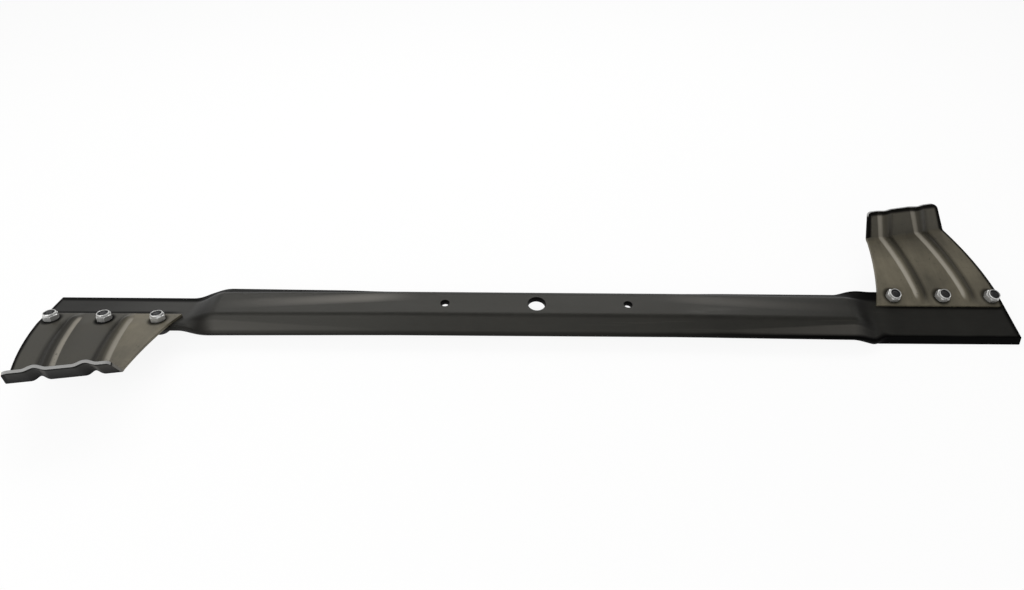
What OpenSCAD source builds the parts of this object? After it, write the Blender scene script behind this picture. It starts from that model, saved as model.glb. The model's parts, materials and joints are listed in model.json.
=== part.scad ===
// Rotary mower blade: a pressed bar with a ribbed wing bolted to the trailing side of each end.
// The bar lies along X and spins about Z. The origin is at the centre hole, on the web's top face.
// The right end cuts on its -Y side. The left end is the right end turned half way round about Z.

/* [Bar stock] */
// Length of the blade from tip to tip
blade_length = 800; // [760:1:860]
// Width of the flat stock that the channel is pressed from
stock_width = 54; // [52:0.5:58]
// Thickness of the stock
stock_thickness = 5.4; // [4.5:0.1:6]
// Radius of the rolled corners along the edges of the stock
stock_corner = 1.8; // [0.8:0.1:2.1]

/* [Middle channel] */
// Distance from the centre line to the start of the bend on each side of the flat web
web_half = 9; // [8:0.1:10]
// Outer radius of the bends beside the web
web_bend_radius = 7; // [6.5:0.1:8]
// Angle at which the flanges hang from the web
flange_angle = 46; // [38:1:50]
// Distance from the centre at which the brims start to widen
flare_start = 112; // [100:1:130]
// Fall of the web along the flare
flare_fall = 1.8; // [0:0.2:4]
// Width of the flange that is left inside the brim's crease at the outer end of the flare
flange_left = 1; // [0.5:0.1:3]
// Radius of the crease between a flange and its brim, at half the thickness
brim_radius = 8; // [6:0.5:10]
// Angle of the brim on the cutting side
cutting_brim_angle = 32; // [26:1:38]
// Angle of the brim on the trailing side
trailing_brim_angle = 38; // [30:1:44]

/* [End plates] */
// Length of the flat plate at each end, along the bar
plate_length = 115; // [115:1:130]
// Distance from the middle of the plate to its trailing edge
plate_back = 23; // [22:0.2:26]
// Distance from the middle of the plate to the edge of the stock that is ground for cutting
plate_front = 25; // [24.5:0.1:26]
// Length over which the channel turns into the end plate
drop_length = 29; // [24:1:40]
// Height of the web above the middle of the end plate's top face
end_drop = 11.5; // [9:0.5:14]
// Angle by which the end plates are twisted, cutting edge down
end_tilt = 16; // [12:0.5:20]
// Angle between a tip and a square cut
tip_slant = 7; // [0:0.5:10]
// Width ground off the stock along the cutting edge
edge_grind = 2; // [1.8:0.1:3]
// Angle of the ground face to the top of the plate
edge_angle = 54; // [40:1:65]
// Distance before the end plate at which the ground edge may start
edge_start = 10; // [8:0.5:14]
// Radius of the wheel mark where the ground face runs out
edge_runout = 18; // [10:1:24]

/* [Holes of the bar] */
// Diameter of the centre hole
centre_hole_d = 14; // [10:0.5:16]
// Diameter of the two holes beside the centre hole
side_hole_d = 6.5; // [5:0.5:9]
// Spacing of the two side holes
side_hole_spacing = 149; // [120:1:180]

/* [Wings] */
// Thickness of the wing's sheet
wing_thickness = 2.2; // [1.5:0.1:3]
// Width of the wing's foot along the bar
foot_width = 107; // [105:0.5:108]
// Distance from the tip of the blade to the wing's foot
foot_inset = 7; // [6:0.5:8]
// Lap of the foot on the bar, from the bar's trailing edge
foot_lap = 14.3; // [12:0.1:16]
// Angle by which the panel hangs from the plane of the end plate
panel_droop = 4.4; // [0:0.2:8]
// Reach of the panel beyond the bar's trailing edge, at the inner end of the fold
panel_reach = 53.6; // [44:0.2:62]
// Distance along the bar from the foot's inner corner to the inner end of the fold
fold_shift = 12; // [8:0.2:16]
// Width of the panel along the fold
fold_width = 74.4; // [70:0.1:80]
// Angle of the fold to the bar
fold_skew = 9.9; // [6:0.1:14]
// Outward bow of the panel's inner side
inner_bow = 2.2; // [0:0.1:4]
// Outward bow of the panel's outer side
outer_bow = 4.4; // [0:0.1:7]
// Angle by which the lip is turned up from the panel
lip_angle = 55; // [40:1:75]
// Radius of the fold, at half the sheet's thickness
fold_radius = 5; // [4:0.5:8]
// Height of the lip from the fold
lip_height = 26.2; // [20:0.2:30]
// Lean of the lip's inner side towards the middle of the blade
lip_inner_lean = 3; // [0:0.2:6]
// Lean of the lip's outer side towards the middle of the blade
lip_outer_lean = 11.9; // [6:0.2:14]
// Corner radius at the inner end of the lip's top edge
lip_inner_corner = 3; // [1:0.2:5]
// Corner radius at the outer end of the lip's top edge
lip_outer_corner = 5; // [2:0.2:7]

/* [Ribs of the wings] */
// Width of a rib at the foot
rib_width = 10; // [8:0.2:12]
// Width of a rib at the fold
rib_fold_width = 13; // [10:0.2:15]
// Width of a rib at the lip's top edge
rib_top_width = 18; // [14:0.5:20]
// Height of a rib above the sheet
rib_height = 3; // [1.5:0.1:4]
// Height of a rib at the lip's top edge
rib_top_height = 2.2; // [1:0.1:3]
// Distance of the first rib from the foot's inner corner
first_rib_foot = 39; // [36:0.5:42]
// Distance of the second rib from the foot's inner corner
second_rib_foot = 80; // [77:0.5:82]
// Distance of the first rib from the inner end of the fold
first_rib_fold = 17; // [14:0.2:20]
// Distance of the second rib from the inner end of the fold
second_rib_fold = 52; // [48:0.2:56]
// Length over which a rib rises from the foot
rib_rise = 12; // [6:0.5:16]

/* [Fasteners] */
// Diameter of the bolts
bolt_d = 6; // [5:0.5:6.5]
// Clearance of a bolt in its holes, across the diameter
bolt_clearance = 0.4; // [0.2:0.1:1]
// Clearance of a bolt in its nut and locking ring, across the diameter
thread_clearance = 0.1; // [0.05:0.05:0.2]
// Distance of the first bolt from the foot's outer end
first_bolt = 8.6; // [7:0.1:10]
// Distance of the last bolt from the foot's inner end
last_bolt = 14.8; // [13:0.1:17]
// Number of bolts in each wing
bolt_count = 3; // [2:1:3]
// Distance of the bolts from the bar's trailing edge
bolt_inset = 6; // [5.5:0.1:7]
// Size of the bolts' heads and of the nuts across the flats
hex_flats = 10; // [9.5:0.5:11]
// Height of a bolt's head
head_height = 4; // [3:0.1:5]
// Height of a lock nut
nut_height = 6; // [5.5:0.1:7]
// Height of the nut's hexagon below its collar
hex_height = 4.2; // [3.6:0.1:4.5]
// Wall of the nut's collar round the locking ring
collar_wall = 0.8; // [0.6:0.1:1]
// Height of the locking ring
ring_height = 1.5; // [1.2:0.1:1.8]
// Depth of the ring below the top of the nut
ring_depth = 0.5; // [0.3:0.1:0.8]
// Clearance of the locking ring in its seat
ring_clearance = 0.05; // [0.02:0.01:0.1]
// Depth of the bolt's end below the top of the nut
bolt_end_depth = 0.3; // [0:0.1:0.4]

/* [Hidden] */
$fn = 64;

// Places along the bar, measured from the centre
tip_x = blade_length / 2;
plate_start = tip_x - plate_length;
drop_start = plate_start - drop_length;
foot_outer_x = tip_x - foot_inset;
foot_inner_x = foot_outer_x - foot_width;
bolt_pitch = (foot_width - first_bolt - last_bolt) / (bolt_count - 1);
// Places across the end plate, measured from its middle along its top face
cutting_edge_v = edge_grind - plate_front;
bolt_v = plate_back - bolt_inset;
foot_v = plate_back - foot_lap;
// Lengths that the cutters reach past what they cut
past = 1;
long_past = 30;

steel_dark = [0.19, 0.19, 0.18];
steel_olive = [0.36, 0.34, 0.30];
steel_black = [0.16, 0.16, 0.165];
zinc = [0.78, 0.78, 0.76];
nylon_dark = [0.10, 0.10, 0.11];

// Mixing two values, a ramp that is level at both ends, an arch that rises to 1, and a list turned round
function mix(a, b, f) = a + (b - a) * f;
function clamp01(f) = max(0, min(1, f));
function level_ramp(f) = f * f * (3 - 2 * f);
function arch(f) = 4 * f * (1 - f);
function reversed(list) = [for (i = [len(list) - 1 : -1 : 0]) list[i]];

// How far a station has gone through the flare and through the drop
function flare(x) = clamp01((abs(x) - flare_start) / (drop_start - flare_start));
function drop(x) = level_ramp(clamp01((abs(x) - drop_start) / drop_length));

// Bar: section at a station

// Slopes are angles that fall outwards, from the web to the edge of the stock
brim_margin = stock_corner + 1;
brim_turn_share = 0.35;
function flange_slope(x, cutting) = mix(flange_angle, cutting ? end_tilt : -end_tilt, drop(x));
function brim_angle(x, cutting) =
    mix(flange_angle, cutting ? cutting_brim_angle : trailing_brim_angle,
        level_ramp(clamp01(flare(x) / brim_turn_share)));
function brim_slope(x, cutting) =
    mix(brim_angle(x, cutting), cutting ? end_tilt : -end_tilt, drop(x));
function web_slope(x) = sign(x) * end_tilt * drop(x);
function web_height(x) = mix(-flare_fall * flare(x), -end_drop, drop(x));

// Half of the developed width, which narrows to the end plate
function half_width(x, cutting) = mix(stock_width / 2, cutting ? plate_front : plate_back, drop(x));

// Bends in the developed width: the web's bend and the brim's crease
web_bend = (web_bend_radius - stock_thickness / 2) * flange_angle * PI / 180;
brim_bend = brim_radius * (flange_angle - cutting_brim_angle) * PI / 180;
bend_steps = 4;
function brim_place(x) =
    mix(stock_width / 2 - brim_margin - brim_bend, web_half + web_bend + flange_left, flare(x));

// Places across the half width at which a section has points, from the web outwards
function half_places(x, cutting) = concat(
    [for (i = [0 : bend_steps]) web_half + web_bend * i / bend_steps],
    [for (i = [0 : bend_steps]) brim_place(x) + brim_bend * i / bend_steps],
    [half_width(x, cutting) - stock_corner]);

// Angle of the sheet at a place across the half width, falling outwards
function slope_at(s, x, cutting, web) =
    s <= web_half + web_bend
        ? mix(web, flange_slope(x, cutting), clamp01((s - web_half) / web_bend))
        : mix(flange_slope(x, cutting), brim_slope(x, cutting), clamp01((s - brim_place(x)) / brim_bend));

// Middle line of one half section as [across, up, slope], walked outwards from the middle of the web
function walk(places, x, cutting, web, i, at) =
    i == len(places) ? [] :
    let (from = i == 0 ? 0 : places[i - 1],
         step = places[i] - from,
         slope = slope_at((places[i] + from) / 2, x, cutting, web),
         next = at + step * [cos(slope), -sin(slope)])
    concat([[next[0], next[1], slope_at(places[i], x, cutting, web)]],
        walk(places, x, cutting, web, i + 1, next));

// A point off the middle line: out along the sheet and up through its thickness
function off_line(p, out, up) = [
    p[0] + out * cos(p[2]) + up * sin(p[2]),
    p[1] - out * sin(p[2]) + up * cos(p[2])];

// Upper and lower outline of a half section: over the top to the edge, and back along the underside
corner_steps = 2;
function half_outline(x, cutting, web) =
    let (half = stock_thickness / 2,
         middle = [half * -sin(web), web_height(x) - half * cos(web)],
         line = walk(half_places(x, cutting), x, cutting, web, 0, middle),
         last = line[len(line) - 1],
         rise = half - stock_corner,
         corner = [for (i = [1 : corner_steps])
             let (a = 90 - 90 * i / corner_steps)
             stock_corner * [cos(a), sin(a)]])
    [concat([for (p = line) off_line(p, 0, half)],
        [for (c = corner) off_line(last, c[0], rise + c[1])]),
    concat([for (c = reversed(corner)) off_line(last, c[0], -rise - c[1])],
        [for (p = reversed(line)) off_line(p, 0, -half)])];

// Whole section as [y, z] points: over the top from -Y to +Y, and back along the underside
function section(x) =
    let (far = half_outline(x, x < 0, -web_slope(x)),
         near = half_outline(x, x >= 0, web_slope(x)))
    concat(across_y(near[0]), far[0], far[1], across_y(near[1]));
function across_y(half) = [for (p = reversed(half)) [-p[0], p[1]]];

// Stations of the loft, closer together where the shape changes
flare_steps = 7;
drop_steps = 10;
half_stations = concat(
    [for (i = [0 : flare_steps - 1]) mix(flare_start, drop_start, i / flare_steps)],
    [for (i = [0 : drop_steps]) drop_start + drop_length * i / drop_steps],
    [tip_x]);
stations = concat(-reversed(half_stations), [0], half_stations);

// The tips are cut at a slant, so the last points move back along the bar from the cutting edge
function across_plate(p, side) = side * p[0] * cos(end_tilt) + (p[1] + end_drop) * sin(end_tilt);
function station_points(x) = [
    for (p = section(x))
        let (back = abs(x) == tip_x ? tan(tip_slant) * (across_plate(p, sign(x)) - cutting_edge_v) : 0)
        [x - sign(x) * back, p[0], p[1]]];

// Sheet between rings of points, each of which runs over the top and back along the underside
module sheet_loft(rings) {
    cols = len(rings[0]);
    last = (len(rings) - 1) * cols;
    polyhedron(
        points = [for (ring = rings) each ring],
        faces = concat(
            [for (start = [0 : cols : last - cols], c = [0 : cols - 1])
                let (a = start + c, b = start + (c + 1) % cols)
                each [[a, b, b + cols], [a, b + cols, a + cols]]],
            [for (f = ring_cap(0, cols)) reversed(f)],
            ring_cap(last, cols)));
}

// Cap over a ring, as a strip between the top and the underside
function ring_cap(start, cols) = [
    for (i = [0 : cols / 2 - 2])
        let (a = start + i, b = a + 1, d = start + cols - 1 - i, c = d - 1)
        each [[a, b, c], [a, c, d]]];

module bar_body() {
    sheet_loft([for (x = stations) station_points(x)]);
}

// End frames: X along the bar, Y along the plate towards its trailing edge, Z up from its top face
module right_end() {
    translate([0, 0, -end_drop]) rotate([end_tilt, 0, 0]) children();
}

module left_end() {
    rotate([0, 0, 180]) right_end() children();
}

module both_ends() {
    right_end() children();
    left_end() children();
}

module at_bolts() {
    for (i = [0 : bolt_count - 1]) translate([foot_outer_x - first_bolt - i * bolt_pitch, bolt_v, 0])
        children();
}

module bolt_hole() {
    reach = stock_thickness + wing_thickness + past;
    cylinder(d = bolt_d + bolt_clearance, h = 2 * reach, center = true);
}

// Wheel that grinds the cutting edge, with its round rim at the run-out
module edge_wheel() {
    translate([plate_start - edge_start, cutting_edge_v, -stock_thickness]) rotate([edge_angle, 0, 0])
        linear_extrude(long_past) {
            translate([edge_runout, 0]) circle(r = edge_runout);
            translate([edge_runout, -edge_runout]) square([plate_length, 2 * edge_runout]);
        }
}

module blade_bar() {
    color(steel_dark) difference() {
        bar_body();
        both_ends() edge_wheel();
        both_ends() at_bolts() bolt_hole();
        cylinder(d = centre_hole_d, h = 2 * (stock_thickness + past), center = true);
        for (side = [-1, 1]) translate([side * side_hole_spacing / 2, 0, 0])
            cylinder(d = side_hole_d, h = 2 * (stock_thickness + past), center = true);
    }
}

// Wing: a sheet whose columns run from the foot over the fold to the top of the lip

fold_start = [foot_inner_x + fold_shift, plate_back + panel_reach];
fold_along = [cos(fold_skew), sin(fold_skew)];
fold_across = [-sin(fold_skew), cos(fold_skew)];
fold_tangent = fold_radius * tan(lip_angle / 2);

// Columns from the inner to the outer side. Each is [strip, share of the strip], and the strips lie between
// the inner side, the edges of the two ribs and the outer side.
strip_steps = [4, 6, 2, 6, 4];
last_strip = len(strip_steps) - 1;
wing_columns = concat(
    [for (k = [0 : last_strip], i = [0 : strip_steps[k] - 1]) [k, i / strip_steps[k]]],
    [[last_strip, 1]]);
function is_rib(k) = k == 1 || k == 3;
function side_packed(k, f) = k == 0 ? f * f : k == last_strip ? 1 - (1 - f) * (1 - f) : f;
function between(marks, c) = mix(marks[c[0]], marks[c[0] + 1], side_packed(c[0], c[1]));

// Marks where the strips meet, along the foot, the fold and the lip's top edge
function marks_of(first, second, width, rib) =
    [0, first - rib / 2, first + rib / 2, second - rib / 2, second + rib / 2, width];
foot_marks = marks_of(first_rib_foot, second_rib_foot, foot_width, rib_width);
fold_marks = marks_of(first_rib_fold, second_rib_fold, fold_width, rib_fold_width);
lip_marks = [
    for (a = marks_of(first_rib_fold, second_rib_fold, fold_width, rib_top_width))
        a - mix(lip_inner_lean, lip_outer_lean, a / fold_width)];
lip_end = lip_marks[len(lip_marks) - 1];

// Rows from the foot to the lip's top edge. Each is [zone, share of the zone].
FOOT = 0;
PANEL = 1;
FOLD = 2;
LIP = 3;
zone_steps = [4, 4, 5, 3];
wing_rows = concat(
    [for (zone = [FOOT : LIP], i = [0 : zone_steps[zone] - 1]) [zone, i / zone_steps[zone]]],
    [[LIP, 1]]);

// Point of the flat part: the foot ends at the bar's trailing edge, and the panel at the start of the fold
function flat_point(c, r) =
    let (foot = [foot_inner_x + between(foot_marks, c), foot_v],
         bend = fold_start + between(fold_marks, c) * fold_along - fold_tangent * fold_across,
         edge_share = foot_lap / (bend[1] - foot_v),
         share = r[0] == FOOT ? r[1] * edge_share : mix(edge_share, 1, r[1]),
         bow = mix(inner_bow, outer_bow, between(fold_marks, c) / fold_width))
    mix(foot, bend, share) + [bow * arch(share), 0];

// Height of the lip at a column, less what its rounded corners take off
function corner_loss(r, d) = d >= r ? 0 : r - sqrt(r * r - (r - d) * (r - d));
function lip_top(c) =
    let (a = between(lip_marks, c))
    lip_height - corner_loss(lip_inner_corner, a - lip_marks[0]) - corner_loss(lip_outer_corner, lip_end - a);

// Height of the ribs above the sheet, which rise from the foot and fall off over the lip
function rib_lift(c, r) =
    let (rise = r[0] > PANEL ? 1 : clamp01((flat_point(c, r)[1] - foot_v) / rib_rise),
         height = r[0] == LIP ? mix(rib_height, rib_top_height, r[1]) : rib_height)
    is_rib(c[0]) ? height * pow(sin(180 * c[1]), 2) * level_ramp(rise) : 0;

// Point of the fold or the lip as [along the fold, across it, height, angle of the sheet]
function turned_point(c, r) =
    r[0] == FOLD
        ? [between(fold_marks, c),
            fold_radius * sin(lip_angle * r[1]) - fold_tangent,
            fold_radius * (1 - cos(lip_angle * r[1])),
            lip_angle * r[1]]
        : let (out = mix(fold_tangent, lip_top(c), r[1]))
            [mix(between(fold_marks, c), between(lip_marks, c), out / lip_height),
            out * cos(lip_angle), out * sin(lip_angle), lip_angle];

// The panel hangs a little from the foot, beyond the bar's trailing edge
function hung(p) =
    p[1] <= plate_back ? p :
    let (v = p[1] - plate_back, w = p[2])
    [p[0],
        plate_back + v * cos(panel_droop) + w * sin(panel_droop),
        w * cos(panel_droop) - v * sin(panel_droop)];

// A point of the wing, lifted off the middle of the sheet
function wing_point(c, r, lift) =
    let (up = lift + rib_lift(c, r),
         t = turned_point(c, r),
         flat = r[0] <= PANEL ? flat_point(c, r)
             : fold_start + t[0] * fold_along + (t[1] - up * sin(t[3])) * fold_across,
         p = hung([flat[0], flat[1], r[0] <= PANEL ? up : t[2] + up * cos(t[3])]))
    p + [0, 0, wing_thickness / 2];

module wing_sheet() {
    half = wing_thickness / 2;
    sheet_loft([
        for (r = wing_rows) concat(
            [for (c = reversed(wing_columns)) wing_point(c, r, half)],
            [for (c = wing_columns) wing_point(c, r, -half)])]);
}

module wing() {
    color(steel_olive) difference() {
        wing_sheet();
        at_bolts() bolt_hole();
    }
}

module right_wing() {
    right_end() wing();
}

module left_wing() {
    left_end() wing();
}

// Hexagon bar with its corners turned off at the bottom, and at the top as well where both is true
hex_chamfer = 30;
hex_sides = 6;
module chamfered_hex(height, both) {
    corner = hex_flats / 2 / cos(180 / hex_sides);
    fall = (corner - hex_flats / 2) * tan(hex_chamfer);
    intersection() {
        cylinder(r = corner, h = height, $fn = hex_sides);
        rotate_extrude() polygon([
            [0, 0],
            [hex_flats / 2, 0],
            [corner, fall],
            [corner, both ? height - fall : height],
            [both ? hex_flats / 2 : corner, height],
            [0, height]]);
    }
}

grip = stock_thickness + wing_thickness;
bolt_reach = grip + nut_height - bolt_end_depth;
bolt_tip = 0.8;

module wing_bolt() {
    translate([0, 0, -stock_thickness - head_height]) chamfered_hex(head_height, false);
    translate([0, 0, -stock_thickness]) rotate_extrude() polygon([
        [0, -past],
        [bolt_d / 2, -past],
        [bolt_d / 2, bolt_reach - bolt_tip],
        [bolt_d / 2 - bolt_tip, bolt_reach],
        [0, bolt_reach]]);
}

module wing_bolts() {
    color(steel_black) both_ends() at_bolts() wing_bolt();
}

// The locking ring sits in a round pocket in the nut's collar, below the collar's rim
thread_r = (bolt_d + thread_clearance) / 2;
collar_inset = 0.2;
collar_r = hex_flats / 2 - collar_inset;
seat_r = collar_r - collar_wall;
seat_floor = nut_height - ring_depth - ring_height;

module lock_nut() {
    difference() {
        union() {
            chamfered_hex(hex_height, true);
            rotate_extrude() polygon([
                [0, hex_height - past],
                [collar_r, hex_height - past],
                [collar_r, hex_height],
                [seat_r + collar_wall / 2, nut_height],
                [0, nut_height]]);
        }
        translate([0, 0, -past]) cylinder(r = thread_r, h = nut_height + 2 * past);
        translate([0, 0, seat_floor]) cylinder(r = seat_r, h = ring_depth + ring_height + past);
    }
}

module lock_nuts() {
    color(zinc) both_ends() at_bolts() translate([0, 0, wing_thickness]) lock_nut();
}

module lock_ring() {
    difference() {
        cylinder(r = seat_r - ring_clearance, h = ring_height);
        translate([0, 0, -past]) cylinder(r = thread_r, h = ring_height + 2 * past);
    }
}

module lock_rings() {
    color(nylon_dark) both_ends() at_bolts() translate([0, 0, wing_thickness + seat_floor]) lock_ring();
}

blade_bar();
right_wing();
left_wing();
wing_bolts();
lock_nuts();
lock_rings();
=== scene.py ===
"""Looks of a rotary mower blade: a pressed bar, two ribbed wings and their fasteners, on a pale floor."""

import json
import math

import bmesh
import bpy
from mathutils import Matrix, Vector

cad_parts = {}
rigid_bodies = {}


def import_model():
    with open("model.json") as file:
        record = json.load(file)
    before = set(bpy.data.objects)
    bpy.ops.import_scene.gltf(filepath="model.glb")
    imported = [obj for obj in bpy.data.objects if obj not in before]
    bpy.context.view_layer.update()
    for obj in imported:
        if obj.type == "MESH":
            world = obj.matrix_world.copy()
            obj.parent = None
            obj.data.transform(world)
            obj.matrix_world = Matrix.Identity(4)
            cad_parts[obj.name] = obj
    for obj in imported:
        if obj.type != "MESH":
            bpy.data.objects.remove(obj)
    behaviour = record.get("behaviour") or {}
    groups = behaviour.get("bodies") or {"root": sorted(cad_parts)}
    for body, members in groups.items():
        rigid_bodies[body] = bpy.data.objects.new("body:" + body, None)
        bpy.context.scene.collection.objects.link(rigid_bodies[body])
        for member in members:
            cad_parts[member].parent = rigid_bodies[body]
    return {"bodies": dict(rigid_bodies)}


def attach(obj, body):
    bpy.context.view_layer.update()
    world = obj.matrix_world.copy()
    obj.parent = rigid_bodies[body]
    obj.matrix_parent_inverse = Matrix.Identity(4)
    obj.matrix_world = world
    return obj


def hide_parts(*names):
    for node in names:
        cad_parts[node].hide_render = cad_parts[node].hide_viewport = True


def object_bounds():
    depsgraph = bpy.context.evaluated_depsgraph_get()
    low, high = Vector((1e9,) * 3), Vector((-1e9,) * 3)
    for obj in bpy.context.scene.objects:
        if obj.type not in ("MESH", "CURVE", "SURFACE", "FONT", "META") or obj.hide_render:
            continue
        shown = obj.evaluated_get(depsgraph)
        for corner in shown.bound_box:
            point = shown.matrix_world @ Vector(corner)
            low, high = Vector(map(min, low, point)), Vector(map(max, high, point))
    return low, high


bl_info = {
    "name": "Rotary Mower Blade",
    "version": (1, 0, 0),
    "blender": (4, 5, 0),
    "location": "View3D > Sidebar > Mower Blade",
    "description": "Builds a pressed mower blade with bolted wings, its finishes and a pale studio",
    "category": "Object",
}

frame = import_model()
CAD_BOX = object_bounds()
BODY = next(iter(frame["bodies"]))
MM = 0.001


# Properties


def length(name, description, millimetres):
    """A length in metres, written in millimetres."""
    return bpy.props.FloatProperty(
        name=name,
        description=description,
        default=millimetres * MM,
        unit="LENGTH",
        subtype="DISTANCE",
        precision=5,
    )


def angle(name, description, degrees):
    """An angle in radians, written in degrees."""
    return bpy.props.FloatProperty(
        name=name, description=description, default=math.radians(degrees), unit="ROTATION", subtype="ANGLE"
    )


def number(name, description, value):
    """A plain number."""
    return bpy.props.FloatProperty(name=name, description=description, default=value)


def colour(name, description, red, green, blue):
    """A linear colour."""
    return bpy.props.FloatVectorProperty(
        name=name, description=description, default=(red, green, blue), subtype="COLOR", size=3, min=0, max=1
    )


class BladeBarSizes(bpy.types.PropertyGroup):
    """Sizes of the pressed bar."""

    blade_length: length("Blade length", "From tip to tip", 800)
    stock_width: length("Stock width", "Flat width that the channel is pressed from", 54)
    stock_thickness: length("Stock thickness", "Thickness of the flat stock", 5.4)
    stock_corner: length("Stock corner", "Rolled corner along the edges of the stock", 1.8)
    web_half: length("Half web", "From the centre line to the start of the web's bend", 9)
    web_bend_radius: length("Web bend", "Outer radius of the bends beside the web", 7)
    flange_angle: angle("Flange angle", "Angle at which the flanges hang", 46)
    flare_start: length("Flare start", "From the centre to where the brims start to widen", 112)
    flare_fall: length("Flare fall", "Fall of the web along the flare", 1.8)
    flange_left: length("Flange left", "Flange inside the brim's crease at the end of the flare", 1)
    brim_radius: length("Brim crease", "Radius of the crease between flange and brim", 8)
    cutting_brim_angle: angle("Cutting brim", "Angle of the brim on the cutting side", 32)
    trailing_brim_angle: angle("Trailing brim", "Angle of the brim on the trailing side", 38)
    plate_length: length("End plate length", "Length of the flat plate at each end", 115)
    plate_back: length("End plate back", "From the plate's middle to its trailing edge", 23)
    plate_front: length("End plate front", "From the plate's middle to the edge of the stock", 25)
    drop_length: length("Drop length", "Length over which the channel becomes the plate", 29)
    end_drop: length("End drop", "Height of the web above the middle of the plate", 11.5)
    end_tilt: angle("End tilt", "Twist of the end plates, cutting edge down", 16)
    tip_slant: angle("Tip slant", "Angle between a tip and a square cut", 7)
    tip_round: length("Tip rounding", "Rounding of the sheared tips", 0.7)
    edge_grind: length("Edge grind", "Width ground off along the cutting edge", 2)
    edge_angle: angle("Edge angle", "Angle of the ground face to the top of the plate", 54)
    edge_start: length("Edge start", "From where the ground face starts to the end plate", 10)
    edge_runout: length("Edge run-out", "Length over which the ground face starts", 14)
    centre_hole: length("Centre hole", "Diameter of the centre hole", 14)
    side_hole: length("Side hole", "Diameter of the two side holes", 6.5)
    side_hole_spacing: length("Side hole spacing", "Between the two side holes", 149)
    hole_round: length("Hole rounding", "Broken edge of the holes", 0.45)


class WingSizes(bpy.types.PropertyGroup):
    """Sizes of a wing. Each is an input of the wing's node tree."""

    thickness: length("Thickness", "Thickness of the sheet", 2.2)
    foot_width: length("Foot width", "Width of the foot along the bar", 107)
    foot_inset: length("Foot inset", "From the tip of the blade to the foot", 7)
    foot_lap: length("Foot lap", "Lap of the foot on the bar", 14.3)
    panel_droop: angle("Panel droop", "Angle by which the panel hangs from the plate's plane", 4.4)
    panel_reach: length("Panel reach", "From the bar's trailing edge to the inner end of the fold", 53.6)
    fold_shift: length("Fold shift", "From the foot's inner corner to the inner end of the fold", 12)
    fold_width: length("Fold width", "Width of the panel along the fold", 74.4)
    fold_skew: angle("Fold skew", "Angle of the fold to the bar", 9.9)
    inner_bow: length("Inner bow", "Outward bow of the panel's inner side", 2.2)
    outer_bow: length("Outer bow", "Outward bow of the panel's outer side", 4.4)
    lip_angle: angle("Lip angle", "Angle by which the lip is turned up", 55)
    fold_radius: length("Fold radius", "Radius of the fold at half the thickness", 5)
    lip_height: length("Lip height", "Height of the lip from the fold", 26.2)
    lip_inner_lean: length("Lip inner lean", "Lean of the lip's inner side", 3)
    lip_outer_lean: length("Lip outer lean", "Lean of the lip's outer side", 11.9)
    lip_inner_corner: length("Lip inner corner", "Corner radius at the inner end of the lip", 3)
    lip_outer_corner: length("Lip outer corner", "Corner radius at the outer end of the lip", 5)
    rib_width: length("Rib width", "Width of a rib at the foot", 10)
    rib_fold_width: length("Rib width, fold", "Width of a rib at the fold", 13)
    rib_top_width: length("Rib width, lip", "Width of a rib at the lip's top edge", 18)
    rib_height: length("Rib height", "Height of a rib above the sheet", 3)
    rib_top_height: length("Rib height, lip", "Height of a rib at the lip's top edge", 2.2)
    first_rib_foot: length("First rib, foot", "From the foot's inner corner to the first rib", 39)
    second_rib_foot: length("Second rib, foot", "From the foot's inner corner to the second rib", 80)
    first_rib_fold: length("First rib, fold", "From the inner end of the fold to the first rib", 17)
    second_rib_fold: length("Second rib, fold", "From the inner end of the fold to the second rib", 52)
    rib_rise: length("Rib rise", "Length over which a rib rises from the foot", 12)


class FastenerSizes(bpy.types.PropertyGroup):
    """Sizes of the bolts, lock nuts and locking rings."""

    bolt_d: length("Bolt", "Diameter of the bolts", 6)
    first_bolt: length("First bolt", "From the foot's outer end to the first bolt", 8.6)
    last_bolt: length("Last bolt", "From the foot's inner end to the last bolt", 14.8)
    bolt_count: bpy.props.IntProperty(name="Bolts", description="Bolts in each wing", default=3, min=2)
    bolt_inset: length("Bolt inset", "From the bar's trailing edge to the bolts", 6)
    hex_flats: length("Across flats", "Heads and nuts across the flats", 10)
    head_height: length("Head height", "Height of a bolt's head", 4)
    nut_height: length("Nut height", "Height of a lock nut", 6)
    hex_height: length("Hexagon height", "Height of the nut's hexagon below its collar", 4.2)
    collar_wall: length("Collar wall", "Wall of the collar round the locking ring", 0.8)
    ring_height: length("Ring height", "Height of the locking ring", 1.5)
    ring_depth: length("Ring depth", "Depth of the ring below the top of the nut", 0.5)
    bolt_end_depth: length("Bolt end depth", "Depth of the bolt's end below the top of the nut", 0.3)


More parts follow.
